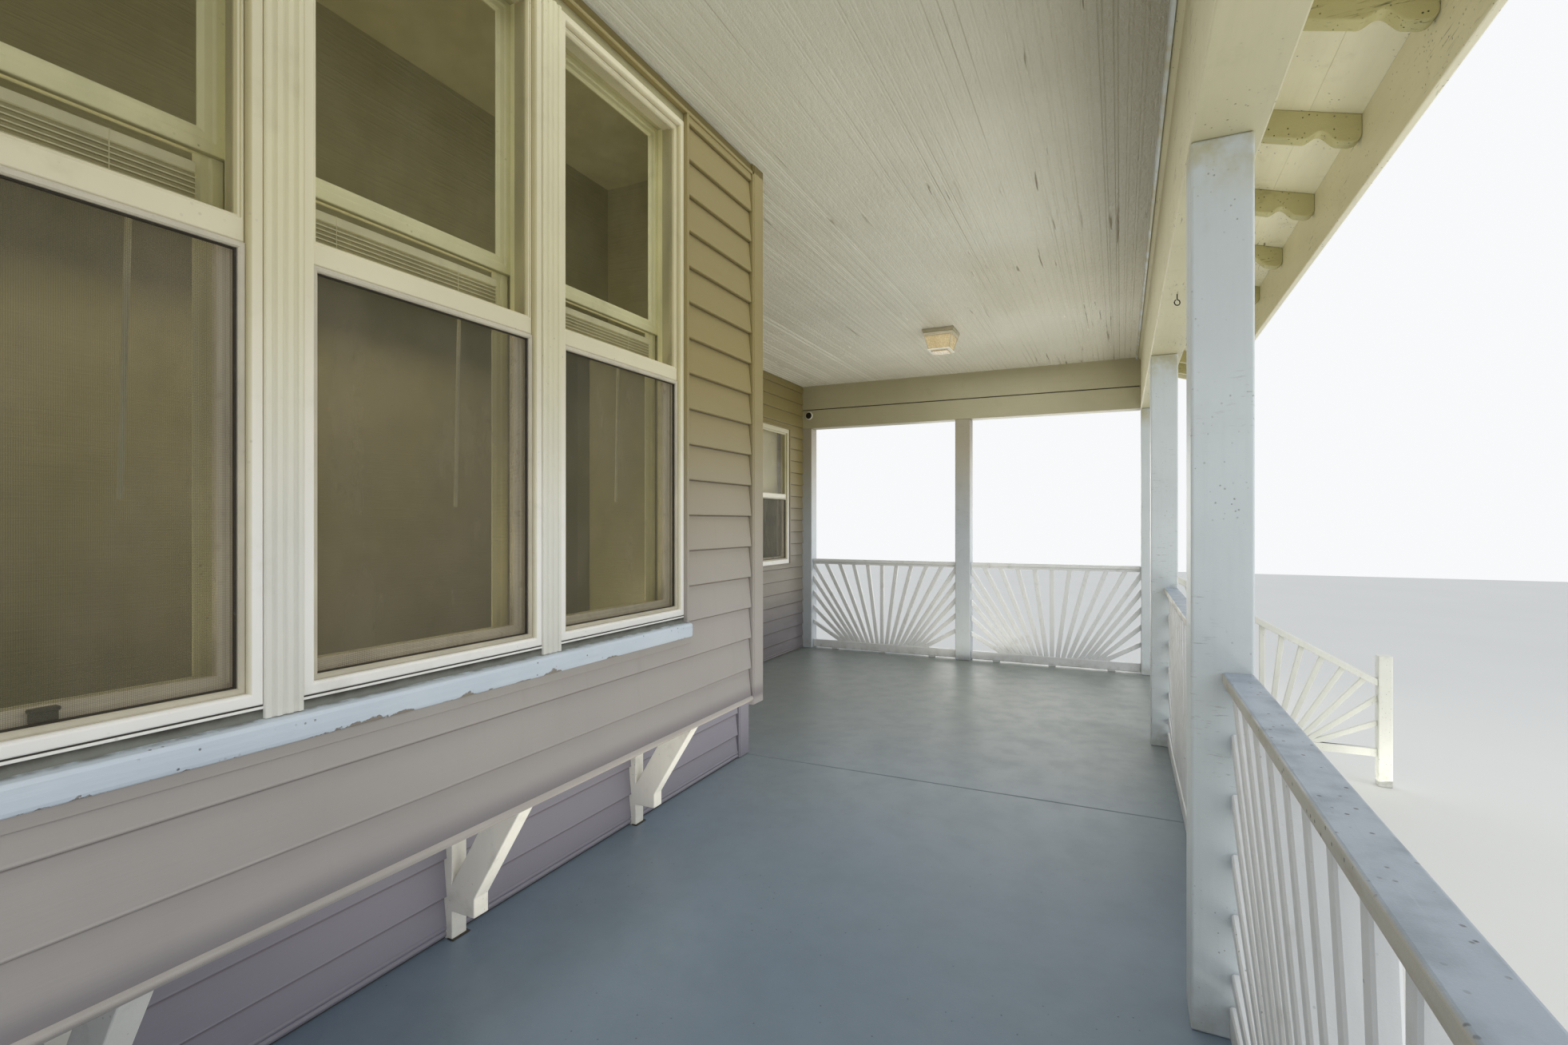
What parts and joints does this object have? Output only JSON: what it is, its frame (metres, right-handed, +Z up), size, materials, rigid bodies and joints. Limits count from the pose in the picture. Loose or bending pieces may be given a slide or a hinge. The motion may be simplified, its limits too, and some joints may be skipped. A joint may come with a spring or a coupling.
{
  "type": "front porch",
  "caption": "Raised front porch of a clapboard house: railed deck under a shed roof, with a bay window on brackets, an entrance alcove and stairs.",
  "frame": {"origin": "middle of the footprint's bounding box, on the ground", "axes": "+X along the porch towards the stairs' end, +Y from the street towards the house, +Z up"},
  "size_m": [7.844, 5.039, 4.5336],
  "materials": {
    "white_paint": "gloss paint, weathered",
    "cream_paint": "satin paint",
    "siding": "embossed vinyl boards",
    "deck_paint": "worn grey-blue porch enamel",
    "cap_paint": "semi-gloss grey-blue paint",
    "shingles": "asphalt shingles with mineral granules",
    "window_white": "satin",
    "window_glass": "clear",
    "lamp_glass": "amber, seeded",
    "inner_sash": "old varnish paint",
    "blind": "satin slats",
    "door_paint": "satin paint",
    "floor_wood": "varnished boards"
  },
  "bodies": {
    "root": {"post_1": "white_paint", "post_2": "white_paint", "post_3": "white_paint", "post_4": "white_paint", "mid_post": "white_paint", "pilasters": "white_paint", "front_beam": "cream_paint", "near_header": "cream_paint", "far_header": "cream_paint", "near_gable": "cream_paint", "far_gable": "cream_paint", "ceiling": "cream_paint", "lamp_base": "white_paint", "lamp_glass": "lamp_glass", "rafter_tails": "cream_paint", "roof_boards": "cream_paint", "roof_shingles": "shingles", "fascia": "cream_paint", "rake_boards": "cream_paint", "deck_near": "deck_paint", "deck_far": "deck_paint", "skirt_front": "white_paint", "skirt_near": "white_paint", "skirt_far": "white_paint", "stair_stringers": "white_paint", "stair_treads": "deck_paint", "stair_risers": "white_paint", "front_rail_1": "white_paint", "front_rail_2": "white_paint", "front_rail_caps": "cap_paint", "far_rail_left": "white_paint", "far_rail_right": "white_paint", "near_rail": "white_paint", "stair_rail": "white_paint", "newel": "white_paint", "wall_under_bay": "siding", "wall_before_bay": "siding", "wall_past_bay": "siding", "return_wall": "siding", "back_wall": "siding", "party_wall": "siding", "room_floor": "floor_wood", "bay_front": "siding", "bay_ends": "siding", "bay_floor": "siding", "bay_windows": "window_white", "window_glass": "window_glass", "inner_sashes": "inner_sash", "blinds": "blind", "mullion_covers": "white_paint", "bay_sill": "white_paint", "bay_brackets": "white_paint", "corner_posts": "siding", "alcove_window": "window_white", "front_door": "door_paint", "door_casing": "white_paint"}
  },
  "joints": []
}
